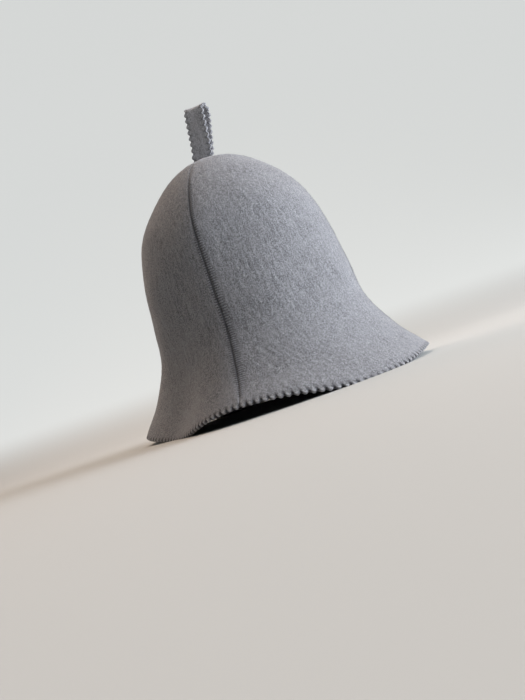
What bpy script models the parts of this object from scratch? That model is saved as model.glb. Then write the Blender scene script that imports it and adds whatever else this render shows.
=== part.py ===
"""Sauna hat: a bell of four sewn felt panels, with a wave-cut hem and a folded hang loop on top.

Metres, +Z up. The hat stands on its hem at z = 0. Its four seams lie at the front (-Y), right (+X),
back (+Y) and left (-X), and the origin is the middle of the space that it takes up, on the floor.
"""

import math

import bmesh
import bpy
import numpy as np

# Thicknesses and the air between pieces
FELT = 0.003
GAP = 0.0003

# The outer face of the felt from the crown top to the hem, at steps of 33 to 43 mm along the felt
MERIDIAN = (
    # place, radius, height
    ("crown top", 0.0000, 0.2480),
    ("crown cap", 0.0330, 0.2390),
    ("shoulder", 0.0580, 0.2170),
    ("upper head", 0.0800, 0.1840),
    ("brow", 0.0900, 0.1465),
    ("head band", 0.0935, 0.1070),
    ("waist", 0.0970, 0.0640),
    ("flare", 0.1112, 0.0286),
    ("hem", 0.1330, 0.0000),
)
MERIDIAN_LENGTH = 0.300
SLOPE_STEP = 1e-4

# The wavy hem: how far it stands out from the mean hem, and up from the floor, at each seam and
# at the middle of each panel. The hat rests on the four panel middles, where the felt is pressed flat.
HEM = (
    # place, azimuth in degrees, flare, lift
    ("left seam", -180.0, 0.021, 0.010),
    ("front left panel", -135.0, -0.013, 0.000),
    ("front seam", -90.0, -0.001, 0.013),
    ("front right panel", -45.0, 0.010, 0.000),
    ("right seam", 0.0, 0.005, 0.008),
    ("back right panel", 45.0, -0.001, 0.000),
    ("back seam", 90.0, 0.004, 0.006),
    ("back left panel", 135.0, -0.008, 0.000),
)
HEM_WAVE_STARTS = 0.5
HEM_PRESS = 0.001

# The crown is a little wider from left to right, and sags a little to the front left
CROWN_OVAL = 0.005
CROWN_SAG = (-0.0045, -0.0015)
TOP_SAG = (-0.0030, -0.0010)
ORIGIN_SHIFT = (-0.0080, 0.0025)

# Panels: the seam that each one starts from, anticlockwise seen from above
PANEL_STARTS = {
    "panel_front_left": -180.0,
    "panel_front_right": -90.0,
    "panel_back_right": 0.0,
    "panel_back_left": 90.0,
}
PANEL_SPAN = 90.0
PANEL_ROWS = 20
PANEL_COLUMNS = 12

# Each panel is a little flatter than the round bell, so the seams stand out from the panel middles
SEAM_RIDGE = 0.0026
SEAM_RIDGE_MEAN = 0.25
SEAM_RIDGE_FULL = 0.25

# The wave cut of the felt's free edges: place along one tooth, and share of the depth cut away
TOOTH = ((0.0, 1.0), (0.3, 0.0), (0.7, 0.0))
TOOTH_DEPTH = 0.0018
TOOTH_PITCH = 0.0059
TEETH_PER_COLUMN = 3

# The hang loop: a strap whose two legs pass through the crown seam side by side
LOOP_WIDTH = 0.022
LOOP_HEIGHT = 0.058
LOOP_TUCK = 0.012
LOOP_EYE = 0.010
LOOP_LEG_GAP = 0.0006
LOOP_DIP = 0.0015
LOOP_LEAN = 11.0
LOOP_LEAN_RISE = 0.015
LOOP_TWIST = -8.0
SLOT_HALF_WIDTH = 0.0039
SLOT_HALF_LENGTH = 0.0124
SLOT_SEARCH_END = 0.2
SLOT_SEARCH_STEPS = 101
LEG_STEPS = 60
FOLD_STEPS = 30

# The blank label inside the hem, right of the back seam
LABEL_SEAM = 90.0
LABEL_WIDTH = 0.024
LABEL_HEIGHT = 0.022
LABEL_THICKNESS = 0.001
LABEL_FROM_HEM = 0.001
LABEL_FROM_SEAM = 0.002
LABEL_CLEARANCE = 0.0005
LABEL_STEPS = 4

# Finishes
FELT_COLOUR = (0.26, 0.26, 0.28, 1.0)
LOOP_COLOUR = (0.22, 0.22, 0.24, 1.0)
LABEL_COLOUR = (0.75, 0.72, 0.66, 1.0)
FELT_ROUGHNESS = 0.95
LABEL_ROUGHNESS = 0.80
SHARP_EDGE = 40.0


def ease(t):
    """A smooth step from 0 to 1 while t goes from 0 to 1."""
    t = np.clip(t, 0.0, 1.0)
    return t * t * (3.0 - 2.0 * t)


def meridian(u):
    """Radius and height of the felt's outer face, for u from 0 at the crown top to 1 at the hem.

    A Catmull-Rom curve through the rows of MERIDIAN, level at the crown top.
    """
    rows = np.array([row[1:] for row in MERIDIAN])
    knots = np.vstack((rows[1] * (-1.0, 1.0), rows, 2.0 * rows[-1] - rows[-2]))
    t = np.asarray(u) * (len(rows) - 1)
    i = np.clip(np.floor(t).astype(int), 0, len(rows) - 2)
    t = (t - i)[..., None]
    a, b, c, d = knots[i], knots[i + 1], knots[i + 2], knots[i + 3]
    point = b + 0.5 * t * (c - a + t * (2 * a - 5 * b + 4 * c - d + t * (3 * b - a - 3 * c + d)))
    return point[..., 0], point[..., 1]


def hem(azimuth):
    """Flare and lift of the hem at an azimuth in radians: cosine steps from row to row of HEM."""
    rows = np.array([row[1:] for row in HEM])
    step = 2.0 * math.pi / len(rows)
    t = (azimuth - math.radians(rows[0, 0])) / step
    i = np.floor(t).astype(int)
    share = 0.5 - 0.5 * np.cos(math.pi * (t - i))
    here, after = rows[i % len(rows)], rows[(i + 1) % len(rows)]
    mixed = here + (after - here) * share[..., None]
    return mixed[..., 1], mixed[..., 2]


def seam_ridge(u, azimuth):
    """How far the face stands out, so that the flatter panels meet in a soft ridge at the seams.

    It grows with the square of the distance from the panel's middle, and fades out at the crown top.
    """
    half_span = math.radians(0.5 * PANEL_SPAN)
    start = math.radians(PANEL_STARTS["panel_front_left"])
    from_middle = ((azimuth - start) % (2.0 * half_span)) / half_span - 1.0
    return SEAM_RIDGE * ease(u / SEAM_RIDGE_FULL) * (from_middle**2 - SEAM_RIDGE_MEAN)


def outer_face(u, azimuth):
    """Radius and height of the outer face: the meridian, oval and ridged, with the hem's wave."""
    radius, height = meridian(u)
    flare, lift = hem(azimuth)
    wave = ease((u - HEM_WAVE_STARTS) / (1.0 - HEM_WAVE_STARTS))
    oval = CROWN_OVAL * np.sin(math.pi * np.clip(u, 0.0, 1.0)) * np.cos(2.0 * azimuth)
    radius = radius + wave * flare + oval + seam_ridge(u, azimuth)
    return radius, height + wave * (lift - HEM_PRESS)


def felt_section(u, azimuth, depth):
    """Radius and height at a depth under the outer face, measured square to it."""
    radius, height = outer_face(u, azimuth)
    radius_below, height_below = outer_face(u + SLOPE_STEP, azimuth)
    radius_above, height_above = outer_face(u - SLOPE_STEP, azimuth)
    out, down = radius_below - radius_above, height_above - height_below
    length = np.hypot(out, down)
    return radius - depth * down / length, height - depth * out / length


def felt_points(u, azimuth, depth=0.0):
    """Points at a depth under the outer face, flattened where they would go through the floor."""
    u, azimuth = np.broadcast_arrays(u, azimuth)
    radius, height = felt_section(u, azimuth, depth)
    middle = np.sin(math.pi * u)[..., None] * CROWN_SAG + ((1.0 - u) ** 2)[..., None] * TOP_SAG
    x = radius * np.cos(azimuth) + middle[..., 0] - ORIGIN_SHIFT[0]
    y = radius * np.sin(azimuth) + middle[..., 1] - ORIGIN_SHIFT[1]
    return np.stack((x, y, np.maximum(height, 0.0)), axis=-1)


def slot_start(azimuth, depth):
    """Where the felt starts under the hang loop: u at the edge of the slot for the loop's legs."""
    along = SLOT_HALF_WIDTH / np.maximum(np.abs(np.sin(azimuth)), 1e-6)
    edge = np.minimum(along, math.hypot(SLOT_HALF_WIDTH, SLOT_HALF_LENGTH))
    u = np.linspace(0.0, SLOT_SEARCH_END, SLOT_SEARCH_STEPS)
    return np.array([np.interp(r, felt_section(u, a, depth)[0], u) for r, a in zip(edge, azimuth)])


def tooth_steps(teeth):
    """Places and cut shares of a run of teeth, in teeth from its start, ending in a notch."""
    places = [tooth + place for tooth in range(teeth) for place, _ in TOOTH] + [float(teeth)]
    cuts = [cut for _ in range(teeth) for _, cut in TOOTH] + [TOOTH[0][1]]
    return np.array(places), np.array(cuts)


def panel_lattice(start, depth):
    """Points of one face of a panel: a grid from the slot down, and the wave-cut hem under it."""
    column = np.linspace(0.0, 1.0, PANEL_COLUMNS + 1)
    row = (np.arange(PANEL_ROWS) / PANEL_ROWS)[:, None]
    span = math.radians(PANEL_SPAN)
    first = math.radians(start)
    u = slot_start(first + span * column, depth)
    u = u + (1.0 - u) * row
    margin = 0.5 * GAP / np.maximum(meridian(u)[0], GAP)
    grid = felt_points(u, first + margin + (span - 2.0 * margin) * column, depth)
    places, cuts = tooth_steps(PANEL_COLUMNS * TEETH_PER_COLUMN)
    margin = 0.5 * GAP / meridian(1.0)[0]
    azimuth = first + margin + (span - 2.0 * margin) * places / places[-1]
    edge = felt_points(1.0 - cuts * TOOTH_DEPTH / MERIDIAN_LENGTH, azimuth, depth)
    return grid, edge


def panel_faces():
    """Faces of a panel as indices into its outer grid, outer hem, inner grid and inner hem."""
    columns, rows = PANEL_COLUMNS, PANEL_ROWS
    per_column = TEETH_PER_COLUMN * len(TOOTH)
    inner = rows * (columns + 1) + columns * per_column + 1
    hem_start = rows * (columns + 1)
    faces = []
    for layer, flip in ((0, False), (inner, True)):
        side = []
        for i in range(rows - 1):
            for j in range(columns):
                a = layer + i * (columns + 1) + j
                side.append((a, a + columns + 1, a + columns + 2, a + 1))
        for j in range(columns):
            upper = layer + (rows - 1) * (columns + 1) + j
            lower = layer + hem_start + j * per_column
            half = per_column // 2
            side += [(upper, lower + k, lower + k + 1) for k in range(half)]
            side.append((upper, lower + half, upper + 1))
            side += [(upper + 1, lower + k, lower + k + 1) for k in range(half, per_column)]
        faces += [face[::-1] for face in side] if flip else side
    for j in range(columns):
        faces.append((j, j + 1, inner + j + 1, inner + j))
    for k in range(columns * per_column):
        a = hem_start + k
        faces.append((a, inner + a, inner + a + 1, a + 1))
    first = [i * (columns + 1) for i in range(rows)] + [hem_start]
    last = [i * (columns + 1) + columns for i in range(rows)] + [hem_start + columns * per_column]
    for upper, lower in zip(first, first[1:]):
        faces.append((upper, inner + upper, inner + lower, lower))
    for upper, lower in zip(last, last[1:]):
        faces.append((upper, lower, inner + lower, inner + upper))
    return faces


def add_piece(name, points, faces, colour, roughness):
    """One closed piece with its own material, its faces turned outwards."""
    mesh = bpy.data.meshes.new(name)
    mesh.from_pydata([tuple(point) for point in points], [], faces)
    shape = bmesh.new()
    shape.from_mesh(mesh)
    bmesh.ops.recalc_face_normals(shape, faces=shape.faces)
    bmesh.ops.triangulate(shape, faces=shape.faces)
    shape.to_mesh(mesh)
    shape.free()
    mesh.shade_smooth()
    mesh.set_sharp_from_angle(angle=math.radians(SHARP_EDGE))
    material = bpy.data.materials.new(name)
    material.use_nodes = True
    shader = material.node_tree.nodes["Principled BSDF"]
    shader.inputs["Base Color"].default_value = colour
    shader.inputs["Roughness"].default_value = roughness
    shader.inputs["Metallic"].default_value = 0.0
    mesh.materials.append(material)
    piece = bpy.data.objects.new(name, mesh)
    bpy.context.scene.collection.objects.link(piece)
    return piece


def add_panel(name, start):
    """A felt panel: its outer face, its inner face one felt thickness under it, and its edges."""
    points = []
    for depth in (0.0, FELT):
        grid, edge = panel_lattice(start, depth)
        points += [grid.reshape(-1, 3), edge]
    return add_piece(name, np.vstack(points), panel_faces(), FELT_COLOUR, FELT_ROUGHNESS)


def loop_centreline():
    """Middle of the strap in the plane across it: up one leg, round the fold and down the other.

    The legs spread from the crown seam to the eye, whose top is half a circle. There are three
    points to a tooth. Returns the points, the strap's outward direction at each, how deep its
    edges are cut there, and the height and the half width of the fold.
    """
    near = 0.5 * (LOOP_LEG_GAP + FELT)
    wide = 0.5 * (LOOP_EYE + FELT)
    fold = LOOP_HEIGHT - 0.5 * FELT - wide
    height = np.linspace(-LOOP_TUCK, fold, LEG_STEPS)
    leg = np.stack((near + (wide - near) * ease(height / fold), height), axis=-1)
    turn = np.linspace(0.0, 0.5 * math.pi, FOLD_STEPS)[1:]
    arc = np.stack((wide * np.cos(turn), fold + wide * np.sin(turn)), axis=-1)
    half = np.vstack((leg, arc))
    path = np.vstack((half, half[-2::-1] * (-1.0, 1.0)))
    length = np.append(0.0, np.cumsum(np.hypot(*np.diff(path, axis=0).T)))
    teeth = round(length[-1] / TOOTH_PITCH)
    places, cuts = tooth_steps(teeth)
    at = places / teeth * length[-1]
    points = np.stack([np.interp(at, length, path[:, k]) for k in range(2)], axis=-1)
    tangent = np.gradient(points, at, axis=0)
    outward = np.stack((tangent[:, 1], -tangent[:, 0]), axis=-1)
    outward /= np.hypot(outward[:, 0], outward[:, 1])[:, None]
    return points, outward, cuts, fold, wide


def add_hang_loop():
    """The strap: two faces and two wave-cut edges carried along the loop's centreline."""
    points, outward, cuts, fold, wide = loop_centreline()
    dip = LOOP_DIP * np.clip((points[:, 1] - fold) / wide, 0.0, 1.0)
    half_width = 0.5 * LOOP_WIDTH - cuts * TOOTH_DEPTH
    corners = [(-1, 1), (0, 1), (1, 1), (1, -1), (0, -1), (-1, -1)]
    rings = []
    for across, side in corners:
        strap = points + side * 0.5 * FELT * outward
        y, z = strap[:, 0], strap[:, 1] - dip * (1 - across * across)
        x = across * half_width
        twist = math.radians(LOOP_TWIST) * ease(z / LOOP_HEIGHT)
        lean = math.radians(LOOP_LEAN) * ease(z / LOOP_LEAN_RISE)
        x, y = x * np.cos(twist) - y * np.sin(twist), x * np.sin(twist) + y * np.cos(twist)
        x, z = x * np.cos(lean) + z * np.sin(lean), z * np.cos(lean) - x * np.sin(lean)
        rings.append(np.stack((x, y, z), axis=-1))
    crown_top = (
        TOP_SAG[0] - ORIGIN_SHIFT[0],
        TOP_SAG[1] - ORIGIN_SHIFT[1],
        MERIDIAN[0][2],
    )
    ring = len(corners)
    vertices = np.stack(rings, axis=1).reshape(-1, 3) + crown_top
    last = (len(points) - 1) * ring
    ends = [(0, 1, 4, 5), (1, 2, 3, 4)]
    faces = ends + [tuple(last + k for k in end[::-1]) for end in ends]
    for i in range(len(points) - 1):
        for k in range(ring):
            a, b = i * ring + k, i * ring + (k + 1) % ring
            faces.append((a, a + ring, b + ring, b))
    return add_piece("hang_loop", vertices, faces, LOOP_COLOUR, FELT_ROUGHNESS)


def add_label():
    """The blank label: a small patch that follows the inner face of the felt by the back seam."""
    steps = LABEL_STEPS
    across = steps + 1
    hem_radius = meridian(1.0)[0]
    seam = math.radians(LABEL_SEAM) - LABEL_FROM_SEAM / hem_radius
    azimuth = seam - np.linspace(0.0, LABEL_WIDTH / hem_radius, across)
    height = LABEL_FROM_HEM + np.linspace(LABEL_HEIGHT, 0.0, across)
    u = 1.0 - height[:, None] / MERIDIAN_LENGTH
    depth = FELT + LABEL_CLEARANCE
    sides = [felt_points(u, azimuth, depth + layer) for layer in (0.0, LABEL_THICKNESS)]
    points = np.vstack([side.reshape(-1, 3) for side in sides])
    inner = across * across
    faces = []
    for i in range(steps):
        for j in range(steps):
            a = i * across + j
            quad = (a, a + 1, a + across + 1, a + across)
            faces += [quad, tuple(inner + k for k in quad[::-1])]
    rim = list(range(across))
    rim += [i * across + steps for i in range(1, across)]
    rim += [steps * across + j for j in range(steps - 1, -1, -1)]
    rim += [i * across for i in range(steps - 1, 0, -1)]
    for a, b in zip(rim, rim[1:] + rim[:1]):
        faces.append((b, a, inner + a, inner + b))
    return add_piece("label", points, faces, LABEL_COLOUR, LABEL_ROUGHNESS)


for old in list(bpy.data.objects):
    bpy.data.objects.remove(old)

for panel_name, panel_start in PANEL_STARTS.items():
    add_panel(panel_name, panel_start)
add_hang_loop()
add_label()
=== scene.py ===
"""The looks of a sauna hat: four sewn panels of grey melange felt, and a folded hang loop on the crown.

Metres, +Z up. The hat rests on its hem, with its seams at the front (-Y), right, back and left.
"""

import math

import bpy
import numpy as np
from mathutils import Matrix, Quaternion, Vector


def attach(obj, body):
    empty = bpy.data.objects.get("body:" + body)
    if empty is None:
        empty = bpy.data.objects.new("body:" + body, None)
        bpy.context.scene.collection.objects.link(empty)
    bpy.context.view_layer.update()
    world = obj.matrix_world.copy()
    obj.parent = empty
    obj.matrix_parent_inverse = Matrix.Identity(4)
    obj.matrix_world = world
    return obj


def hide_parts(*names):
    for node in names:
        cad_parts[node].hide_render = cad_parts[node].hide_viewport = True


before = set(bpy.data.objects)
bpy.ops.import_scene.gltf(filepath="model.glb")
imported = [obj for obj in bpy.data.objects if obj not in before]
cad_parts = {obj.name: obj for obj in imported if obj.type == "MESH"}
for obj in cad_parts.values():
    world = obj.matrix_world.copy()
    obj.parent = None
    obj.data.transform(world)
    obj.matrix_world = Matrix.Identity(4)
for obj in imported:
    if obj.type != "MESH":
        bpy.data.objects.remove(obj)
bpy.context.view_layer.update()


# The bell: the form that the four felt panels share once they are sewn together.
# It is pressed wool felt, 3 mm thick, stiff enough to keep a domed crown and a flared hem,
# and soft enough for the hem to have taken a wave in use.
FELT = 0.003
MERIDIAN = (
    # place, radius, height
    ("crown top", 0.0000, 0.2480),
    ("crown cap", 0.0330, 0.2390),
    ("shoulder", 0.0580, 0.2170),
    ("upper head", 0.0800, 0.1840),
    ("brow", 0.0900, 0.1465),
    ("head band", 0.0935, 0.1070),
    ("waist", 0.0970, 0.0640),
    ("flare", 0.1112, 0.0286),
    ("hem", 0.1330, 0.0000),
)
MERIDIAN_LENGTH = 0.300
HEM = (
    # place, azimuth in degrees, flare, lift
    ("left seam", -180.0, 0.021, 0.010),
    ("front left panel", -135.0, -0.013, 0.000),
    ("front seam", -90.0, -0.001, 0.013),
    ("front right panel", -45.0, 0.010, 0.000),
    ("right seam", 0.0, 0.005, 0.008),
    ("back right panel", 45.0, -0.001, 0.000),
    ("back seam", 90.0, 0.004, 0.006),
    ("back left panel", 135.0, -0.008, 0.000),
)
HEM_WAVE_FORMS = (0.5, 1.0)
HEM_PRESS = 0.001
CROWN_OVAL = 0.005
CROWN_SAG = (-0.0045, -0.0015)
TOP_SAG = (-0.0030, -0.0010)
ORIGIN_SHIFT = (-0.0080, 0.0025)
PANEL_SPAN = math.radians(90.0)
SEAM_RIDGE = 0.0026
SEAM_RIDGE_OFFSET = 0.25
SEAM_RIDGE_FULL = 0.25
SLOPE_STEP = 1e-4


def ease(t):
    """A smooth step from 0 to 1 while t goes from 0 to 1: three times its square, less twice its cube."""
    t = np.clip(t, 0.0, 1.0)
    return t * t * (3.0 - 2.0 * t)


def ease_between(t, limits):
    """A smooth step from 0 to 1 while t goes from the first limit to the second."""
    return ease((t - limits[0]) / (limits[1] - limits[0]))


def meridian(u):
    """Radius and height of the outer face: a Catmull-Rom curve through the rows of MERIDIAN.

    The place u runs from 0 at the crown top to 1 at the hem, and the rows lie evenly along it.
    """
    rows = np.array([row[1:] for row in MERIDIAN])
    knots = np.vstack((rows[1] * (-1.0, 1.0), rows, 2.0 * rows[-1] - rows[-2]))
    t = np.asarray(u) * (len(rows) - 1)
    i = np.clip(np.floor(t).astype(int), 0, len(rows) - 2)
    t = (t - i)[..., None]
    a, b, c, d = knots[i], knots[i + 1], knots[i + 2], knots[i + 3]
    point = b + 0.5 * t * (c - a + t * (2 * a - 5 * b + 4 * c - d + t * (3 * b - a - 3 * c + d)))
    return point[..., 0], point[..., 1]


def hem(azimuth):
    """Flare and lift of the hem at an azimuth: cosine steps from row to row of HEM."""
    rows = np.array([row[1:] for row in HEM])
    t = (azimuth - math.radians(rows[0, 0])) / (2.0 * math.pi / len(rows))
    i = np.floor(t).astype(int)
    share = 0.5 - 0.5 * np.cos(math.pi * (t - i))
    here, after = rows[i % len(rows)], rows[(i + 1) % len(rows)]
    mixed = here + (after - here) * share[..., None]
    return mixed[..., 1], mixed[..., 2]


def seam_ridge(u, azimuth):
    """How far the face stands out: the square of the distance from the panel's middle, less a quarter."""
    from_middle = (azimuth % PANEL_SPAN) / (0.5 * PANEL_SPAN) - 1.0
    return SEAM_RIDGE * ease(u / SEAM_RIDGE_FULL) * (from_middle**2 - SEAM_RIDGE_OFFSET)


def outer_face(u, azimuth):
    """Radius and height: the meridian, plus an oval, the seams' ridge, and the hem's wave low down."""
    radius, height = meridian(u)
    flare, lift = hem(azimuth)
    wave = ease_between(u, HEM_WAVE_FORMS)
    oval = CROWN_OVAL * np.sin(math.pi * np.clip(u, 0.0, 1.0)) * np.cos(2.0 * azimuth)
    radius = radius + wave * flare + oval + seam_ridge(u, azimuth)
    return radius, height + wave * (lift - HEM_PRESS)


def felt_points(u, azimuth, depth):
    """Points at a depth square to the outer face, never under the floor, about a sagging middle.

    The slope of the face comes from two points of it just above and below. The middle moves aside
    with the sine of a half turn down the hat, and with the square of the distance from the hem.
    """
    u, azimuth, depth = np.broadcast_arrays(u, azimuth, depth)
    radius, height = outer_face(u, azimuth)
    radius_below, height_below = outer_face(u + SLOPE_STEP, azimuth)
    radius_above, height_above = outer_face(u - SLOPE_STEP, azimuth)
    out, down = radius_below - radius_above, height_above - height_below
    length = np.hypot(out, down)
    radius = radius - depth * down / length
    height = height - depth * out / length
    middle = np.sin(math.pi * u)[..., None] * CROWN_SAG + ((1.0 - u) ** 2)[..., None] * TOP_SAG
    x = radius * np.cos(azimuth) + middle[..., 0] - ORIGIN_SHIFT[0]
    y = radius * np.sin(azimuth) + middle[..., 1] - ORIGIN_SHIFT[1]
    return np.stack((x, y, np.maximum(height, 0.0)), axis=-1)


# The felt's surface: what handling has done to it. Long shallow dents run through both faces,
# a fine pebbling lies on each, and along each seam the two edges are drawn down into a groove.
DENT_DEPTH = 0.0006
DENT_LENGTH = 0.060
DENT_SEED = 3
PEBBLE_DEPTH = 0.00010
PEBBLE_LENGTH = 0.0050
PEBBLE_SEED = 5
RIPPLE_WAVES = 14
RIPPLE_SPREAD = (0.7, 1.4)
GROOVE_DEPTH = (0.0002, 0.0009)
GROOVE_WIDTH = 0.0012
CROWN_GROOVE_WIDTH = 0.0024
SEAM_DIP_DEPTH = 0.0002
SEAM_DIP_WIDTH = 0.0050
INNER_GROOVE = 0.5
SEAM_FADES = (0.93, 0.99)
SEAM_HEM_LOSS = 0.6
SEAM_FORMS = (0.02, 0.40)
SEAM_CROWN_SHARE = 0.4


def ripples(points, length, seed):
    """Smooth noise from about -1 to 1: a sum of plane waves of random direction, length and phase."""
    draw = np.random.default_rng(seed)
    direction = draw.normal(size=(3, RIPPLE_WAVES))
    direction /= np.linalg.norm(direction, axis=0)
    lengths = length * draw.uniform(*RIPPLE_SPREAD, RIPPLE_WAVES)
    phase = draw.uniform(0.0, 2.0 * math.pi, RIPPLE_WAVES)
    waves = np.sin(points @ (direction * 2.0 * math.pi / lengths) + phase)
    return waves.sum(axis=-1) * math.sqrt(1.0 / RIPPLE_WAVES)


def seam_distance(u, azimuth):
    """Distance from the nearest seam: the angle to it times the radius, positive anticlockwise."""
    turn = (azimuth + 0.5 * PANEL_SPAN) % PANEL_SPAN - 0.5 * PANEL_SPAN
    return turn * outer_face(u, azimuth)[0]


def sewn_in(u, azimuth):
    """How deep the seam draws the felt in: a narrow bell curve for the groove and a wide one round it.

    The groove is shallow on the clockwise side, which the stitches hardly press. It gets wider towards
    the crown, and both curves get shallower there and over the last 20 mm above the hem.
    """
    across = seam_distance(u, azimuth)
    fade = ease_between(u, SEAM_FADES)
    form = ease_between(u, SEAM_FORMS)
    width = CROWN_GROOVE_WIDTH + (GROOVE_WIDTH - CROWN_GROOVE_WIDTH) * form
    groove = np.where(across < 0.0, *GROOVE_DEPTH) * np.exp(-((across / width) ** 2))
    dip = SEAM_DIP_DEPTH * np.exp(-((across / SEAM_DIP_WIDTH) ** 2))
    share = (1.0 - SEAM_HEM_LOSS * fade) * (SEAM_CROWN_SHARE + (1.0 - SEAM_CROWN_SHARE) * form)
    return (groove + dip) * share


def worn_points(u, azimuth, depth):
    """Points of the used felt: the bell at a depth, plus its dents, its pebbling and its seams.

    The dents move both faces the same way, and the pebbles move them apart or together. The seams
    draw each face into the felt, the inner one by half as much.
    """
    base = felt_points(u, azimuth, 0.0)
    dents = DENT_DEPTH * ripples(base, DENT_LENGTH, DENT_SEED)
    outside = 1.0 - depth / FELT
    pebbles = PEBBLE_DEPTH * ripples(base, PEBBLE_LENGTH, PEBBLE_SEED) * (2.0 * outside - 1.0)
    drawn = sewn_in(u, azimuth) * (outside - INNER_GROOVE * (1.0 - outside))
    return felt_points(u, azimuth, depth + dents + pebbles + drawn)


# The panels: four gores cut from one sheet of felt, their long edges butted and sewn together.
# The hem was cut with a wave blade, which leaves a row of small rounded teeth along it.
PANELS = {
    "panel_front_left": -180.0,
    "panel_front_right": -90.0,
    "panel_back_right": 0.0,
    "panel_back_left": 90.0,
}
PANEL_TEETH = 36
TOOTH_DEPTH = 0.0019
TOOTH_SHARPNESS = 1.6
TOOTH_ROWS_START = 0.970
COLUMNS_PER_TOOTH = 8
FACE_ROWS = 100
HEM_ROWS = 14
EDGE_RADIUS = 0.0006
EDGE_ROWS = 4
# The notches of the wave-cut edges are painted with shade, and the teeth's tips with a highlight.
NOTCH_SHADE_REACH = 0.0055
TIP_SHINE_REACH = 0.0022
# The seam's dark line and the band round it are painted shade of its groove.
SEAM_LINE_WIDTH = 0.0007
SEAM_BAND_TONE = 0.15
SEAM_BAND_WIDTH = 0.0090
SEAM_LINE_STARTS = (0.10, 0.45)
SEAM_LINE_ENDS = (0.88, 0.97)
NOTCH_SPREAD = 1.6
TIP_HIGHLIGHT_TONE = -0.6
SEAM_GAP = 0.0001
SEAM_GAP_LEAST_SHARE = 0.03
SEAM_CROWDING = 0.6
CROWDING_FADES = (0.80, 0.92)
SLOT_HALF_WIDTH = 0.0039
SLOT_HALF_LENGTH = 0.0107
SLOT_SEARCH = np.linspace(0.0, 0.2, 401)
NEAR_ZERO = 1e-6


def slot_start(azimuth):
    """Where the felt starts under the hang loop: the u at which the meridian leaves the crown's slot.

    The slot is a strip across the crown, straight along its sides and cut to an arc at its ends.
    """
    along = SLOT_HALF_WIDTH / np.maximum(np.abs(np.sin(azimuth)), NEAR_ZERO)
    edge = np.minimum(along, math.hypot(SLOT_HALF_WIDTH, SLOT_HALF_LENGTH))
    return np.interp(edge, meridian(SLOT_SEARCH)[0], SLOT_SEARCH)


def tooth_cut(tooth):
    """Share of the tooth depth cut away: a raised cosine to a power, 1 in a notch and 0 on a tip."""
    return (0.5 + 0.5 * np.cos(2.0 * math.pi * tooth)) ** TOOTH_SHARPNESS


def sheet_section(share):
    """Ring of a sheet's section as share along it, inset from its ends, and depth.

    It runs down the outer face at the given shares, round one edge with two quarter circles,
    up the inner face, and round the other edge.
    """
    turn = np.linspace(0.0, 0.5 * math.pi, EDGE_ROWS)
    inset, rise = EDGE_RADIUS * (1.0 - np.sin(turn)), EDGE_RADIUS * (1.0 - np.cos(turn))
    edge_inset = np.append(inset, inset[::-1])
    edge_depth = np.append(rise, FELT - rise[::-1])
    ones = np.ones(2 * EDGE_ROWS)
    return (
        np.concatenate((share, ones, share[::-1], 0.0 * ones)),
        np.concatenate((0.0 * share, edge_inset, 0.0 * share, edge_inset)),
        np.concatenate((0.0 * share, edge_depth, 0.0 * share + FELT, edge_depth[::-1])),
    )


def notch_shade(notch, from_edge):
    """Painted shade in a notch of a wave-cut edge: a smooth step into it, times one that dies out away
    from the edge.
    """
    return ease(NOTCH_SPREAD * notch) * ease(1.0 - from_edge / NOTCH_SHADE_REACH)


def cut_tone(notch, from_edge):
    """Tone of the felt near its wave-cut edge: painted shade in the notches, a painted highlight on the
    teeth's tips.
    """
    pale = (1.0 - notch) * ease(1.0 - from_edge / TIP_SHINE_REACH)
    return notch_shade(notch, from_edge) + TIP_HIGHLIGHT_TONE * pale


def sleeve_mesh(name, points, uvs, tone):
    """A closed mesh from a grid of ring by column, with a UV map and each point's felt tone.

    It has quads round the sleeve and over its two ends, where the ring is folded at its middle. The
    tone is painted light: 1 for full painted shade, and below 0 for a painted highlight.
    """
    ring, columns = points.shape[:2]
    index = np.arange(ring * columns).reshape(ring, columns)
    after = np.roll(index, -1, axis=0)
    quads = np.stack((index[:, :-1], after[:, :-1], after[:, 1:], index[:, 1:]), axis=-1).reshape(-1, 4)
    half = ring // 2
    near, far = np.arange(half), ring - 1 - np.arange(half)
    caps = []
    for column, turned in ((0, False), (columns - 1, True)):
        line = index[:, column]
        cap = np.stack((line[near[:-1]], line[far[:-1]], line[far[1:]], line[near[1:]]), axis=-1)
        caps.append(cap[:, ::-1] if turned else cap)
    faces = np.vstack((quads, *caps))
    mesh = bpy.data.meshes.new(name)
    mesh.from_pydata(points.reshape(-1, 3), [], faces)
    layer = mesh.uv_layers.new(name="along_the_felt")
    corners = np.empty(len(mesh.loops), dtype=np.int32)
    mesh.loops.foreach_get("vertex_index", corners)
    layer.data.foreach_set("uv", uvs.reshape(-1, 2)[corners].astype(np.float32).ravel())
    tones = mesh.attributes.new("painted_light_and_shade", "FLOAT", "POINT")
    tones.data.foreach_set("value", np.broadcast_to(tone, points.shape[:2]).astype(np.float32).ravel())
    mesh.shade_smooth()
    piece = bpy.data.objects.new(name, mesh)
    bpy.context.scene.collection.objects.link(piece)
    return piece


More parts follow.
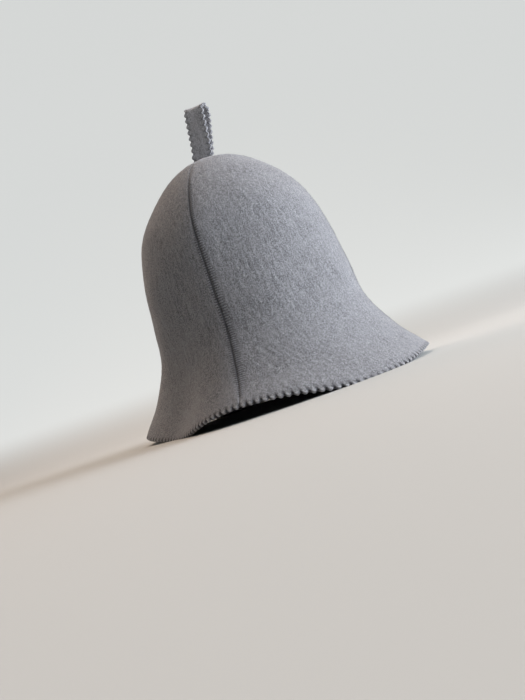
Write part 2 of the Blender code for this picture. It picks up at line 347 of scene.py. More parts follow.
def panel_grid(start):
    """A panel's u, azimuth, depth and tone on a grid of section ring by azimuth.

    The columns crowd towards the seams, except in the wave-cut rows, where they keep to the teeth.
    The gap at a seam is an angle from the felt's radius, read no nearer to the crown top than a least
    share. The tone is painted shade: a bell curve for a dark line in the seam's groove and a wide one
    for a band where the felt curves into it, which both die out at the crown and the hem, plus the
    painted shade and highlight of the cut edge.
    """
    rows = np.linspace(0.0, TOOTH_ROWS_START, FACE_ROWS)[1:]
    rows = np.append(rows, np.linspace(TOOTH_ROWS_START, 1.0, HEM_ROWS)[1:-1])
    share, inset, depth = (row[:, None] for row in sheet_section(rows))
    column = np.linspace(0.0, 1.0, PANEL_TEETH * COLUMNS_PER_TOOTH + 1)
    crowding = SEAM_CROWDING * (1.0 - ease_between(share, CROWDING_FADES))
    across = column - crowding * np.sin(2.0 * math.pi * column) / (2.0 * math.pi)
    rough_u = np.maximum(share, SEAM_GAP_LEAST_SHARE)
    margin = 0.5 * SEAM_GAP / outer_face(rough_u, start + PANEL_SPAN * across)[0]
    azimuth = start + margin + (PANEL_SPAN - 2.0 * margin) * across
    top = slot_start(azimuth)
    notch = tooth_cut(PANEL_TEETH * across)
    cut = notch * TOOTH_DEPTH / MERIDIAN_LENGTH
    cut = cut * ease_between(share, (TOOTH_ROWS_START, 1.0))
    u = top + (1.0 - top) * share - cut
    u = u + np.where(share > 0.5, -inset, inset) / MERIDIAN_LENGTH
    begins = ease_between(u, SEAM_LINE_STARTS)
    ends = ease_between(u, SEAM_LINE_ENDS)
    from_seam = seam_distance(u, azimuth)
    line = np.exp(-((from_seam / SEAM_LINE_WIDTH) ** 2))
    band = SEAM_BAND_TONE * np.exp(-((from_seam / SEAM_BAND_WIDTH) ** 2))
    # The seam's painted shade: the dark line in its groove and the band round it.
    pressed = np.maximum(line, band) * begins * (1.0 - ends)
    return u, azimuth, depth, pressed + cut_tone(notch, (1.0 - share) * MERIDIAN_LENGTH)


# The seams are bound with an overcast stitch, which crosses the groove every 2.1 mm, mostly over the
# edge on its right. Its bars show down the sides, and sink into the felt at the crown and the hem.
STITCH_PITCH = 0.0021
SEAM_ENDS = (0.045, 0.975)
STITCH_CREST = 0.25
STITCH_PHASE = 2.0 * math.pi * (SEAM_ENDS[0] * MERIDIAN_LENGTH / STITCH_PITCH + STITCH_CREST)
STITCH_WAVE_RANGE = (-0.5, 0.7)
STITCH_FADE_TOP = (0.30, 0.50)
STITCH_FADE_HEM = (0.90, 0.95)
STITCH_BAR = (0.0038, 0.0105)
STITCH_BAR_FULL = 0.0025
STITCH_BAR_LEFT = 0.5

# The felt's fibres: carded wool, each about 0.03 mm wide. What shows is how they clump, as a grain,
# as short curly hairs, as a nap brushed down the hat and as cloudy patches.
GRAIN_WIDTH = 0.00072
GRAIN_STRETCH = 0.62
GRAIN_ROUGHNESS = 0.55
GRAIN_RANGE = (0.425, 0.590)
HAIR_SPACING = 0.0009
HAIR_DISTORTION = 1.0
HAIR_MIDDLE = 0.5
HAIR_REACH = 0.035
HAIR_SHARE = 0.65
CURL_LENGTH = 0.0038
CURL_REACH = 0.0022
NAP_WIDTH = 0.0019
NAP_STRETCH = 0.10
NAP_SHARE = 0.28
PATCH_WIDTH = 0.018
PATCH_ROUGHNESS = 0.6
PATCH_RANGE = (0.3, 0.7)
PATCH_SHARE = 0.35
PAINTED_SHADE_DARKNESS = 0.88
PAINTED_HIGHLIGHT_PALENESS = 0.80
FELT_RELIEF = 0.0006
FELT_RELIEF_STRENGTH = 0.55
FELT_ROUGHNESS = 0.97
HAIR_ROUGHNESS = 0.78
FELT_SPECULAR = 0.25
BLOOM_WEIGHT = 0.50
BLOOM_ROUGHNESS = 0.35


def linear(hex_colour):
    """An sRGB hex colour as a shader takes it: each channel straight near black, else a power of 2.4."""
    srgb = np.array([int(hex_colour[i : i + 2], 16) for i in (1, 3, 5)]) / 255.0
    bright = ((srgb + 0.055) / 1.055) ** 2.4
    return (*np.where(srgb <= 0.04045, srgb / 12.92, bright).tolist(), 1.0)


def add_node(tree, kind, inputs=None, **settings):
    """Adds a node with its settings, and gives each of its inputs a value or a link from an output."""
    node = tree.nodes.new(kind)
    for key, value in settings.items():
        setattr(node, key, value)
    for key, value in (inputs or {}).items():
        if isinstance(value, bpy.types.NodeSocket):
            tree.links.new(value, node.inputs[key])
        else:
            node.inputs[key].default_value = value
    return node


def stitch_marks(tree):
    """How deep the overcast stitches press the felt, from 0 to 1, in bars across each seam.

    The bars come from a cosine along the seam at the pitch of the stitches, with its crests where the
    thread crosses the outer face. They are longer further down, and fade out at their ends, at the
    crown and at the hem. They sink the felt's relief, and darken its colour as painted shade in the
    dents.
    """
    uv = add_node(tree, "ShaderNodeUVMap", uv_map="along_the_felt").outputs[0]
    parts = add_node(tree, "ShaderNodeSeparateXYZ", {"Vector": uv})
    across, along = parts.outputs["X"], parts.outputs["Y"]
    turns = add_node(
        tree,
        "ShaderNodeMath",
        {0: along, 1: 2.0 * math.pi / STITCH_PITCH, 2: -STITCH_PHASE},
        operation="MULTIPLY_ADD",
    )
    wave = add_node(tree, "ShaderNodeMath", {0: turns.outputs[0]}, operation="COSINE")
    bar = add_node(
        tree,
        "ShaderNodeMapRange",
        {
            "Value": wave.outputs[0],
            "From Min": STITCH_WAVE_RANGE[0],
            "From Max": STITCH_WAVE_RANGE[1],
        },
    )
    bar_end = add_node(
        tree,
        "ShaderNodeMapRange",
        {
            "Value": along,
            "From Min": STITCH_FADE_TOP[0] * MERIDIAN_LENGTH,
            "From Max": STITCH_FADE_HEM[0] * MERIDIAN_LENGTH,
            "To Min": STITCH_BAR[0],
            "To Max": STITCH_BAR[1],
        },
    )
    limits = (
        (across, bar_end.outputs[0], STITCH_BAR_FULL),
        (along, STITCH_FADE_TOP[0] * MERIDIAN_LENGTH, STITCH_FADE_TOP[1] * MERIDIAN_LENGTH),
        (along, STITCH_FADE_HEM[1] * MERIDIAN_LENGTH, STITCH_FADE_HEM[0] * MERIDIAN_LENGTH),
    )
    marks = bar.outputs[0]
    for place, none, full in limits:
        share = add_node(
            tree, "ShaderNodeMapRange", {"Value": place, "From Min": none, "From Max": full}
        )
        marks = add_node(
            tree, "ShaderNodeMath", {0: marks, 1: share.outputs[0]}, operation="MULTIPLY"
        ).outputs[0]
    return marks


def wool_felt(name, light, middle, dark, painted_shade_colour, sewn):
    """Pressed melange wool felt: fibres of three greys carded together and matted with steam.

    The eye sees a fine salt-and-pepper grain with short curly hairs, a nap brushed down the hat,
    cloudy patches, no gloss, and a soft pale bloom at grazing angles from the loose fibre ends. The
    grain is about 0.7 mm wide, drawn a little coarse so that it shows. Painted shade, read from each
    point's tone and, on a sewn piece, from the stitch marks, darkens the felt in notches, grooves and
    dents; a painted highlight makes it paler on the cut teeth's tips.
    """
    material = bpy.data.materials.new(name)
    material.use_nodes = True
    tree = material.node_tree
    shader = tree.nodes["Principled BSDF"]
    place = add_node(tree, "ShaderNodeTexCoord").outputs["Object"]
    carded = add_node(tree, "ShaderNodeMapping", {"Vector": place, "Scale": (1.0, 1.0, GRAIN_STRETCH)})
    warp = add_node(
        tree,
        "ShaderNodeTexNoise",
        {"Vector": carded.outputs[0], "Scale": 1.0 / CURL_LENGTH, "Detail": 2.0},
    )
    curl = add_node(
        tree, "ShaderNodeVectorMath", {0: warp.outputs["Color"], "Scale": CURL_REACH}, operation="SCALE"
    )
    curled = add_node(tree, "ShaderNodeVectorMath", {0: carded.outputs[0], 1: curl.outputs[0]})
    grain = add_node(
        tree,
        "ShaderNodeTexNoise",
        {
            "Vector": curled.outputs[0],
            "Scale": 1.0 / GRAIN_WIDTH,
            "Detail": 2.0,
            "Roughness": GRAIN_ROUGHNESS,
        },
    )
    hairs = add_node(
        tree,
        "ShaderNodeTexNoise",
        {
            "Vector": curled.outputs[0],
            "Scale": 1.0 / HAIR_SPACING,
            "Detail": 1.0,
            "Distortion": HAIR_DISTORTION,
        },
    )
    brushed = add_node(tree, "ShaderNodeMapping", {"Vector": place, "Scale": (1.0, 1.0, NAP_STRETCH)})
    nap = add_node(
        tree,
        "ShaderNodeTexNoise",
        {"Vector": brushed.outputs[0], "Scale": 1.0 / NAP_WIDTH, "Detail": 1.0},
    )
    patches = add_node(
        tree,
        "ShaderNodeTexNoise",
        {
            "Vector": place,
            "Scale": 1.0 / PATCH_WIDTH,
            "Detail": 2.0,
            "Roughness": PATCH_ROUGHNESS,
        },
    )
    napped = add_node(
        tree,
        "ShaderNodeMath",
        {0: nap.outputs[0], 1: NAP_SHARE, 2: grain.outputs[0]},
        operation="MULTIPLY_ADD",
    )
    grain_share = add_node(
        tree,
        "ShaderNodeMapRange",
        {
            "Value": napped.outputs[0],
            "From Min": GRAIN_RANGE[0] + 0.5 * NAP_SHARE,
            "From Max": GRAIN_RANGE[1] + 0.5 * NAP_SHARE,
        },
    )
    hair_side = add_node(
        tree, "ShaderNodeMath", {0: hairs.outputs[0], 1: HAIR_MIDDLE}, operation="SUBTRACT"
    )
    from_hair = add_node(tree, "ShaderNodeMath", {0: hair_side.outputs[0]}, operation="ABSOLUTE")
    hair_share = add_node(
        tree,
        "ShaderNodeMapRange",
        {
            "Value": from_hair.outputs[0],
            "From Min": 0.0,
            "From Max": HAIR_REACH,
            "To Min": HAIR_SHARE,
            "To Max": 0.0,
        },
    )
    patch_share = add_node(
        tree,
        "ShaderNodeMapRange",
        {
            "Value": patches.outputs[0],
            "From Min": PATCH_RANGE[0],
            "From Max": PATCH_RANGE[1],
            "To Max": PATCH_SHARE,
        },
    )
    relief = add_node(
        tree, "ShaderNodeMath", {0: grain.outputs[0], 1: hair_share.outputs[0]}, operation="ADD"
    )
    tone = add_node(tree, "ShaderNodeAttribute", attribute_name="painted_light_and_shade").outputs["Fac"]
    shade_and_dents = tone
    # On a sewn piece the stitch marks add painted shade, and sink the relief.
    if sewn:
        shade_and_dents = add_node(
            tree, "ShaderNodeMath", {0: tone, 1: stitch_marks(tree)}, operation="MAXIMUM"
        ).outputs[0]
        relief = add_node(
            tree, "ShaderNodeMath", {0: relief.outputs[0], 1: shade_and_dents}, operation="SUBTRACT"
        )
    # Painted shade darkens the felt towards the shade colour; a painted highlight pales the teeth's tips.
    darkness = add_node(
        tree, "ShaderNodeMapRange", {"Value": shade_and_dents, "From Max": 1.0, "To Max": PAINTED_SHADE_DARKNESS}
    )
    painted_highlight = add_node(
        tree,
        "ShaderNodeMapRange",
        {"Value": tone, "From Min": 0.0, "From Max": -1.0, "To Max": PAINTED_HIGHLIGHT_PALENESS},
    )
    # Each colour is mixed over the last. A colour Mix takes the two on inputs 6 and 7, and gives output 2.
    layers = (
        (grain_share, middle),
        (hair_share, light),
        (patch_share, middle),
        (darkness, painted_shade_colour),
        (painted_highlight, light),
    )
    colour = linear(dark)
    for share, over in layers:
        layer = add_node(
            tree,
            "ShaderNodeMix",
            {0: share.outputs[0], 6: colour, 7: linear(over)},
            data_type="RGBA",
        )
        colour = layer.outputs[2]
    bump = add_node(
        tree,
        "ShaderNodeBump",
        {
            "Height": relief.outputs[0],
            "Strength": FELT_RELIEF_STRENGTH,
            "Distance": FELT_RELIEF,
        },
    )
    roughness = add_node(
        tree,
        "ShaderNodeMapRange",
        {"Value": hair_share.outputs[0], "To Min": FELT_ROUGHNESS, "To Max": HAIR_ROUGHNESS},
    )
    tree.links.new(colour, shader.inputs["Base Color"])
    tree.links.new(bump.outputs[0], shader.inputs["Normal"])
    tree.links.new(roughness.outputs[0], shader.inputs["Roughness"])
    shader.inputs["Specular IOR Level"].default_value = FELT_SPECULAR
    shader.inputs["Sheen Weight"].default_value = BLOOM_WEIGHT
    shader.inputs["Sheen Roughness"].default_value = BLOOM_ROUGHNESS
    shader.inputs["Sheen Tint"].default_value = linear("#d9dbe2")
    return material


# The darkest colour, #343438, is the painted shade colour.
panel_felt = wool_felt("grey_melange_felt", "#c6c7cc", "#9a9ba0", "#5e5e62", "#343438", sewn=True)

for node_name, start_degrees in PANELS.items():
    start = math.radians(start_degrees)
    u, azimuth, depth, tone = panel_grid(start)
    points = worn_points(u, azimuth, depth)
    from_seam = seam_distance(u, azimuth)
    from_seam = np.where(from_seam < 0.0, -from_seam / STITCH_BAR_LEFT, from_seam)
    uvs = np.stack((from_seam, u * MERIDIAN_LENGTH), axis=-1)
    panel = sleeve_mesh("felt_" + node_name, points, uvs, tone)
    panel.data.materials.append(panel_felt)
    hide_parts(node_name)
    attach(panel, "root")


# The seams' thread: dark grey spun polyester, over each groove on the outside, down through the
# felt, and back slanting across the inside.
SEAMS = {
    "seam_thread_front": -90.0,
    "seam_thread_right": 0.0,
    "seam_thread_back": 90.0,
    "seam_thread_left": 180.0,
}
THREAD_RADIUS = 0.00030
THREAD_SIDES = 6
THREAD_PROUD = 0.6
STITCH_LEFT = -0.0012
STITCH_RIGHT = 0.0042
STITCH_SINK = 0.00005
CROWN_SINK = 0.0008
CROWN_SINK_ENDS = (0.15, 0.35)
STITCH_SWING = 0.7
STITCH_FLATNESS = 3.0
STITCH_STEPS = 14
STITCH_SHIFT = 0.00012
STITCH_SEED = 400
RING_START = (0.31, 0.17, 0.93)
FUZZ_PER_MM = 1.5
FUZZ_RELIEF = 0.0002
FUZZ_RELIEF_STRENGTH = 0.5
THREAD_ROUGHNESS = (0.60, 0.85)
THREAD_SHEEN = 0.2


def tube_mesh(name, path, radius, sides):
    """A tube of round section carried along a path, closed at its ends.

    Each ring lies square to the path, on two directions: one square to both the path and a fixed
    direction, and one square to that and the path.
    """
    tangent = np.gradient(path, axis=0)
    tangent /= np.linalg.norm(tangent, axis=1)[:, None]
    side = np.cross(tangent, RING_START)
    side /= np.linalg.norm(side, axis=1)[:, None]
    lift = np.cross(tangent, side)
    turn = np.arange(sides) * 2.0 * math.pi / sides
    ring = np.cos(turn)[None, :, None] * side[:, None] + np.sin(turn)[None, :, None] * lift[:, None]
    points = path[:, None] + radius * ring
    rows = len(path)
    index = np.arange(rows * sides).reshape(rows, sides)
    after = np.roll(index, -1, axis=1)
    quads = np.stack((index[:-1], after[:-1], after[1:], index[1:]), axis=-1).reshape(-1, 4)
    faces = [tuple(quad) for quad in quads.tolist()]
    faces += [tuple(index[0, ::-1].tolist()), tuple(index[-1].tolist())]
    mesh = bpy.data.meshes.new(name)
    mesh.from_pydata(points.reshape(-1, 3), [], faces)
    mesh.shade_smooth()
    piece = bpy.data.objects.new(name, mesh)
    bpy.context.scene.collection.objects.link(piece)
    return piece


def stitch_path(seam):
    """A flattened helix round the butted edges: over the outer face, through, and under the inner.

    The turn's cosine carries the thread across the seam, its sine takes it from one face to the
    other, and a power flattens both. Each stitch is shifted a little by chance. Near the crown the
    outer runs lie buried in the felt.
    """
    length = (SEAM_ENDS[1] - SEAM_ENDS[0]) * MERIDIAN_LENGTH
    stitches = int(length / STITCH_PITCH)
    t = np.linspace(0.0, stitches, stitches * STITCH_STEPS + 1)
    u = SEAM_ENDS[0] + t * STITCH_PITCH / MERIDIAN_LENGTH
    turn = 2.0 * math.pi * t
    swing = np.cos(turn)
    swing = np.sign(swing) * np.abs(swing) ** STITCH_SWING
    draw = np.random.default_rng(int(math.degrees(seam)) + STITCH_SEED)
    wander = draw.uniform(-STITCH_SHIFT, STITCH_SHIFT, stitches + 2)
    loose = np.interp(t, np.arange(stitches + 2), wander)
    across = 0.5 * (STITCH_LEFT + STITCH_RIGHT) + 0.5 * (STITCH_RIGHT - STITCH_LEFT) * swing + loose
    rise = np.sin(turn)
    rise = np.sign(rise) * (1.0 - (1.0 - np.abs(rise)) ** STITCH_FLATNESS)
    azimuth = seam + across / outer_face(u, np.full_like(u, seam))[0]
    sunk = 1.0 - ease_between(u, CROWN_SINK_ENDS)
    top = STITCH_SINK - THREAD_PROUD * THREAD_RADIUS + CROWN_SINK * sunk
    bottom = FELT + THREAD_PROUD * THREAD_RADIUS
    depth = 0.5 * (top + bottom) - 0.5 * (bottom - top) * rise
    return worn_points(u, azimuth, depth)


def sewing_thread(name, colour, shade):
    """Spun polyester sewing thread: matt, and a little hairy, so its colour is broken up.

    The fuzz is drawn about 0.7 mm wide, much coarser than it is, so that it shows.
    """
    material = bpy.data.materials.new(name)
    material.use_nodes = True
    tree = material.node_tree
    shader = tree.nodes["Principled BSDF"]
    place = add_node(tree, "ShaderNodeTexCoord").outputs["Object"]
    fuzz = add_node(
        tree, "ShaderNodeTexNoise", {"Vector": place, "Scale": 1000.0 * FUZZ_PER_MM, "Detail": 2.0}
    )
    tint = add_node(
        tree,
        "ShaderNodeMix",
        {0: fuzz.outputs[0], 6: linear(shade), 7: linear(colour)},
        data_type="RGBA",
    )
    bump = add_node(
        tree,
        "ShaderNodeBump",
        {
            "Height": fuzz.outputs[0],
            "Strength": FUZZ_RELIEF_STRENGTH,
            "Distance": FUZZ_RELIEF,
        },
    )
    roughness = add_node(
        tree,
        "ShaderNodeMapRange",
        {
            "Value": fuzz.outputs[0],
            "To Min": THREAD_ROUGHNESS[0],
            "To Max": THREAD_ROUGHNESS[1],
        },
    )
    tree.links.new(tint.outputs[2], shader.inputs["Base Color"])
    tree.links.new(bump.outputs[0], shader.inputs["Normal"])
    tree.links.new(roughness.outputs[0], shader.inputs["Roughness"])
    shader.inputs["Sheen Weight"].default_value = THREAD_SHEEN
    return material


seam_thread = sewing_thread("grey_spun_polyester", "#5c5d62", "#3a3a3e")

for thread_name, seam_degrees in SEAMS.items():
    path = stitch_path(math.radians(seam_degrees))
    stitches = tube_mesh(thread_name, path, THREAD_RADIUS, THREAD_SIDES)
    stitches.data.materials.append(seam_thread)
    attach(stitches, "root")


# The hang loop: a strap of the same felt, both edges wave-cut, folded over and caught by its two
# ends in the crown seam. Its colours are painted lighter than the panels', as painted light. It
# leans to the right, and its top edge is hollow from being bent.
LOOP_WIDTH = 0.022
LOOP_HEIGHT = 0.058
LOOP_TUCK = 0.012
LOOP_EYE = 0.010
LOOP_LEG_GAP = 0.0006
LOOP_DIP = 0.0015
LOOP_LEAN = math.radians(11.0)
LOOP_LEAN_RISE = 0.015
LOOP_TWIST = math.radians(-8.0)
LOOP_TOOTH_PITCH = 0.0059
LOOP_TEETH_START = 0.004
LOOP_ACROSS = 30
LOOP_SAMPLES = 200
# The strap's notches and cut edges are painted with shade.
LOOP_NOTCH_SHADE = 0.65
LOOP_EDGE_SHADE = 0.45


def loop_centreline():
    """Middle of the strap, in the plane across it: up one leg, round half a circle, and down the other."""
    near = 0.5 * (LOOP_LEG_GAP + FELT)
    wide = 0.5 * (LOOP_EYE + FELT)
    fold = LOOP_HEIGHT - 0.5 * FELT - wide
    height = np.linspace(-LOOP_TUCK, fold, LOOP_SAMPLES)
    leg = np.stack((near + (wide - near) * ease(height / fold), height), axis=-1)
    turn = np.linspace(0.0, 0.5 * math.pi, LOOP_SAMPLES // 2)[1:]
    arc = np.stack((wide * np.cos(turn), fold + wide * np.sin(turn)), axis=-1)
    half = np.vstack((leg, arc))
    path = np.vstack((half, half[-2::-1] * (-1.0, 1.0)))
    length = np.append(0.0, np.cumsum(np.hypot(*np.diff(path, axis=0).T)))
    teeth = round(length[-1] / LOOP_TOOTH_PITCH)
    tooth = np.linspace(0.0, teeth, teeth * COLUMNS_PER_TOOTH + 1)
    at = tooth / teeth * length[-1]
    points = np.stack([np.interp(at, length, path[:, k]) for k in range(2)], axis=-1)
    tangent = np.gradient(points, at, axis=0)
    tangent /= np.linalg.norm(tangent, axis=1)[:, None]
    outward = np.stack((tangent[:, 1], -tangent[:, 0]), axis=-1)
    return points, outward, tooth, at, fold, wide


def loop_grid():
    """The strap's points, UVs and tone on a grid of section ring by place along it.

    The ring is a sheet section laid across the strap. The top dips most in the strap's middle, by a
    parabola across it. The teeth are pressed out where the crown holds the strap. Two turns then
    twist it about its height and lean it over.
    """
    points, outward, tooth, at, fold, wide = loop_centreline()
    rows = np.linspace(0.0, 1.0, LOOP_ACROSS)[1:-1]
    share, inset, depth = (row[:, None] for row in sheet_section(rows))
    notch = tooth_cut(tooth) * ease(points[:, 1] / LOOP_TEETH_START)
    half_width = 0.5 * LOOP_WIDTH - notch * TOOTH_DEPTH
    across = (1.0 - 2.0 * share) * half_width + np.where(share > 0.5, inset, -inset)
    side = 0.5 * FELT - depth
    edge = across / (0.5 * LOOP_WIDTH)
    y = points[:, 0] + side * outward[:, 0]
    dip = LOOP_DIP * np.clip((points[:, 1] - fold) / wide, 0.0, 1.0)
    z = points[:, 1] + side * outward[:, 1] - dip * (1.0 - edge * edge)
    twist = LOOP_TWIST * ease(z / LOOP_HEIGHT)
    lean = LOOP_LEAN * ease(z / LOOP_LEAN_RISE)
    x, y = across * np.cos(twist) - y * np.sin(twist), across * np.sin(twist) + y * np.cos(twist)
    x, z = x * np.cos(lean) + z * np.sin(lean), z * np.cos(lean) - x * np.sin(lean)
    crown_top = (TOP_SAG[0] - ORIGIN_SHIFT[0], TOP_SAG[1] - ORIGIN_SHIFT[1], MERIDIAN[0][2])
    grid = np.stack((x, y, z), axis=-1) + crown_top
    uvs = np.stack(np.broadcast_arrays(across, at), axis=-1)
    # Painted shade in the notches, and along the strap's cut edges.
    from_edge = np.maximum(half_width - np.abs(across), 0.0)
    tone = LOOP_NOTCH_SHADE * notch_shade(notch, from_edge)
    return grid, uvs, np.maximum(tone, LOOP_EDGE_SHADE * ease(1.0 - from_edge / EDGE_RADIUS))


loop_points, loop_uvs, loop_tone = loop_grid()
# The same felt, with its colours painted lighter to stand in for the light on the strap.
lit_strap_felt = wool_felt("grey_felt_strap_painted_lighter", "#e1e2e8", "#c2c3c9", "#838388", "#48484c", sewn=False)
hang_loop = sleeve_mesh("felt_hang_loop", loop_points, loop_uvs, loop_tone)
hang_loop.data.materials.append(lit_strap_felt)
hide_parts("hang_loop")
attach(hang_loop, "root")


# The label: a small blank patch of off-white woven polyester tape, sewn in beside the back seam,
# inside the hem. It lies half a millimetre off the felt.
LABEL_SEAM = math.radians(90.0)
LABEL_WIDTH = 0.024
LABEL_HEIGHT = 0.022
LABEL_THICKNESS = 0.0009
LABEL_FROM_HEM = 0.001
LABEL_FROM_SEAM = 0.002
LABEL_CLEARANCE = 0.0005
LABEL_STEPS = 40
WEAVE_PITCH = 0.000604
# A wave texture has this many bands to the unit at scale 1.
BANDS_PER_UNIT = 20.0 / (2.0 * math.pi)
WEAVE_RELIEF = 0.0002
WEAVE_RELIEF_STRENGTH = 0.4
TAPE_ROUGHNESS = (0.85, 0.65)


def label_grid():
    """The patch's points and UVs on a grid of section ring by azimuth: a thin sheet along the felt.

    Its height is laid off up the felt from the hem, and its width clockwise from the seam, on the
    circle of the hem.
    """
    hem_radius = MERIDIAN[-1][1]
    share = np.linspace(0.0, 1.0, LABEL_STEPS)
    share = np.append(share, share[::-1])[:, None]
    layer = np.repeat((0.0, 1.0), LABEL_STEPS)[:, None]
    column = np.linspace(0.0, 1.0, LABEL_STEPS)
    azimuth = LABEL_SEAM - (LABEL_FROM_SEAM + LABEL_WIDTH * column[::-1]) / hem_radius
    height = LABEL_FROM_HEM + LABEL_HEIGHT * (1.0 - share)
    u = 1.0 - height / MERIDIAN_LENGTH
    depth = FELT + LABEL_CLEARANCE + LABEL_THICKNESS * layer
    points = felt_points(u, azimuth, depth)
    uvs = np.stack(np.broadcast_arrays(LABEL_WIDTH * column, height), axis=-1)
    return points, uvs


def woven_tape(name, warp_colour, gap_colour):
    """Woven polyester label tape: a fine plain weave, which the eye sees as matt with a faint check.

    The weave is drawn at a pitch of 0.6 mm, coarser than it is, so that it shows.
    """
    material = bpy.data.materials.new(name)
    material.use_nodes = True
    tree = material.node_tree
    shader = tree.nodes["Principled BSDF"]
    uv = add_node(tree, "ShaderNodeUVMap", uv_map="along_the_felt").outputs[0]
    scale = 1.0 / (BANDS_PER_UNIT * WEAVE_PITCH)
    warp = add_node(tree, "ShaderNodeTexWave", {"Vector": uv, "Scale": scale}, bands_direction="X")
    weft = add_node(tree, "ShaderNodeTexWave", {"Vector": uv, "Scale": scale}, bands_direction="Y")
    weave = add_node(
        tree, "ShaderNodeMath", {0: warp.outputs[1], 1: weft.outputs[1]}, operation="MULTIPLY"
    )
    tint = add_node(
        tree,
        "ShaderNodeMix",
        {0: weave.outputs[0], 6: linear(gap_colour), 7: linear(warp_colour)},
        data_type="RGBA",
    )
    bump = add_node(
        tree,
        "ShaderNodeBump",
        {
            "Height": weave.outputs[0],
            "Strength": WEAVE_RELIEF_STRENGTH,
            "Distance": WEAVE_RELIEF,
        },
    )
    roughness = add_node(
        tree,
        "ShaderNodeMapRange",
        {"Value": weave.outputs[0], "To Min": TAPE_ROUGHNESS[0], "To Max": TAPE_ROUGHNESS[1]},
    )
    tree.links.new(tint.outputs[2], shader.inputs["Base Color"])
    tree.links.new(bump.outputs[0], shader.inputs["Normal"])
    tree.links.new(roughness.outputs[0], shader.inputs["Roughness"])
    return material


label_points, label_uvs = label_grid()
label = sleeve_mesh("blank_label", label_points, label_uvs, 0.0)
label.data.materials.append(woven_tape("off_white_woven_tape", "#e8e2d6", "#b9b1a3"))
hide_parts("label")
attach(label, "root")


# The setting: a plain pale floor that curves up into a wall, painted matt, which glows evenly.
# A wide window lights the hat from the right, with a little from its top edge in front. A warmer
# light comes from above, and some of it comes back warmer still from the left.
WALL_DISTANCE = 1.7
FLOOR_FRONT = -2.2
FLOOR_HALF_WIDTH = 4.0
COVE_RADIUS = 1.35
WALL_HEIGHT = 5.0
COVE_STEPS = 24
FLOOR_TURN = math.radians(17.4)
WALL_GLOW = 1.17
WALL_GLOW_HEIGHT = 0.11
WALL_ROUGHNESS = 0.9
ROOM_GLOW = 0.03


def cove_profile():
    """Outline of the floor and wall from front to back: a line, a quarter circle and a line."""
    turn = np.linspace(0.0, 0.5 * math.pi, COVE_STEPS)
    depth = WALL_DISTANCE - COVE_RADIUS + COVE_RADIUS * np.sin(turn)
    height = COVE_RADIUS * (1.0 - np.cos(turn))
    return (
        np.concatenate(([FLOOR_FRONT], depth, [WALL_DISTANCE])),
        np.concatenate(([0.0], height, [WALL_HEIGHT])),
    )


def wall_paint(name, colour, unlit):
    """Matt pale paint that takes the lamps' light on the floor and glows by itself up the wall.

    Both the glow and the darker paint under it come in by a smooth step of the height.
    """
    material = bpy.data.materials.new(name)
    material.use_nodes = True
    tree = material.node_tree
    shader = tree.nodes["Principled BSDF"]
    place = add_node(tree, "ShaderNodeTexCoord").outputs["Object"]
    height = add_node(tree, "ShaderNodeSeparateXYZ", {"Vector": place}).outputs["Z"]
    wall_share = add_node(
        tree,
        "ShaderNodeMapRange",
        {"Value": height, "From Max": WALL_GLOW_HEIGHT},
        interpolation_type="SMOOTHSTEP",
    ).outputs[0]
    glow = add_node(tree, "ShaderNodeMath", {0: wall_share, 1: WALL_GLOW}, operation="MULTIPLY")
    paint = add_node(
        tree, "ShaderNodeMix", {0: wall_share, 6: linear(colour), 7: linear(unlit)}, data_type="RGBA"
    )
    tree.links.new(glow.outputs[0], shader.inputs["Emission Strength"])
    tree.links.new(paint.outputs[2], shader.inputs["Base Color"])
    shader.inputs["Emission Color"].default_value = linear(colour)
    shader.inputs["Roughness"].default_value = WALL_ROUGHNESS
    return material


cove_depth, cove_height = cove_profile()
cove_rows = len(cove_depth)
cove_side = np.array((-FLOOR_HALF_WIDTH, FLOOR_HALF_WIDTH))
cove_x = cove_side * math.cos(FLOOR_TURN) - cove_depth[:, None] * math.sin(FLOOR_TURN)
cove_y = cove_side * math.sin(FLOOR_TURN) + cove_depth[:, None] * math.cos(FLOOR_TURN)
cove_points = np.stack(np.broadcast_arrays(cove_x, cove_y, cove_height[:, None]), axis=-1)
cove_mesh = bpy.data.meshes.new("pale_cove")
cove_mesh.from_pydata(
    cove_points.reshape(-1, 3),
    [],
    [(2 * i, 2 * i + 1, 2 * i + 3, 2 * i + 2) for i in range(cove_rows - 1)],
)
cove_mesh.shade_smooth()
cove = bpy.data.objects.new("pale_cove", cove_mesh)
bpy.context.scene.collection.objects.link(cove)
cove_mesh.materials.append(wall_paint("matt_wall_paint", "#c5c7c6", "#525351"))

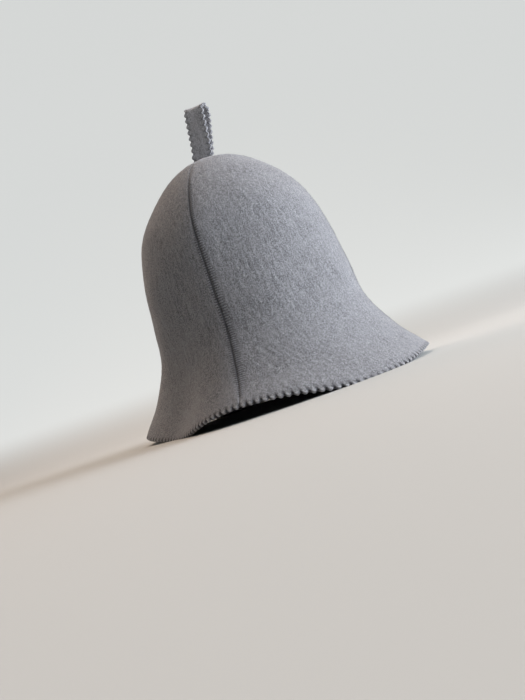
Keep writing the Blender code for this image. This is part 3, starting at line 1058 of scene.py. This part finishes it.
LIGHTS = (
    # name, place, aim, width and height, beam in degrees, watts, colour
    ("window", (1.55, 0.16, 0.49), (0.0, 0.0, 0.12), (1.7, 0.8), 90.0, 15.6, "#f3f8ff"),
    ("window_top", (1.0, -0.8, 1.15), (0.0, 0.0, 0.15), (0.8, 0.8), 150.0, 2.2, "#ffffff"),
    ("skylight", (-0.20, 0.15, 1.70), (0.0, 0.0, 0.15), (0.8, 0.8), 150.0, 8.6, "#ffe6cc"),
    ("wall_bounce", (-1.10, 0.75, 1.10), (0.0, 0.0, 0.20), (0.9, 0.7), 100.0, 1.5, "#ffc8a4"),
)
for light_name, light_place, light_aim, light_size, beam, watts, light_colour in LIGHTS:
    lamp = bpy.data.lights.new(light_name, "AREA")
    lamp.shape = "RECTANGLE"
    lamp.size, lamp.size_y = light_size
    lamp.spread = math.radians(beam)
    lamp.energy = watts
    lamp.color = linear(light_colour)[:3]
    light = bpy.data.objects.new(light_name, lamp)
    light.location = light_place
    light.rotation_mode = "QUATERNION"
    light.rotation_quaternion = (Vector(light_aim) - Vector(light_place)).to_track_quat("-Z", "Y")
    bpy.context.scene.collection.objects.link(light)

world = bpy.data.worlds.new("dim_room")
world.use_nodes = True
dim_room = world.node_tree.nodes["Background"]
dim_room.inputs["Color"].default_value = linear("#e9ebee")
dim_room.inputs["Strength"].default_value = ROOM_GLOW
bpy.context.scene.world = world
bpy.context.scene.view_settings.view_transform = "Standard"


# The camera: low in front of the hat and a little to its right, aimed above the hem, and rolled so
# that the hat leans to the left.
CAMERA_PLACE = (0.1521, -0.4952, 0.0225)
CAMERA_AIM = (-0.0032, 0.0000, 0.0530)
CAMERA_ROLL = math.radians(-19.17)
CAMERA_LENS = 27.05
CAMERA_SENSOR = 36.0
CAMERA_CLIP = 0.01

camera_data = bpy.data.cameras.new("camera")
camera_data.lens = CAMERA_LENS
camera_data.sensor_width = CAMERA_SENSOR
camera_data.clip_start = CAMERA_CLIP
camera = bpy.data.objects.new("camera", camera_data)
camera.location = CAMERA_PLACE
camera.rotation_mode = "QUATERNION"
towards = (Vector(CAMERA_AIM) - Vector(CAMERA_PLACE)).to_track_quat("-Z", "Y")
camera.rotation_quaternion = towards @ Quaternion((0.0, 0.0, 1.0), CAMERA_ROLL)
bpy.context.scene.collection.objects.link(camera)
bpy.context.scene.camera = camera
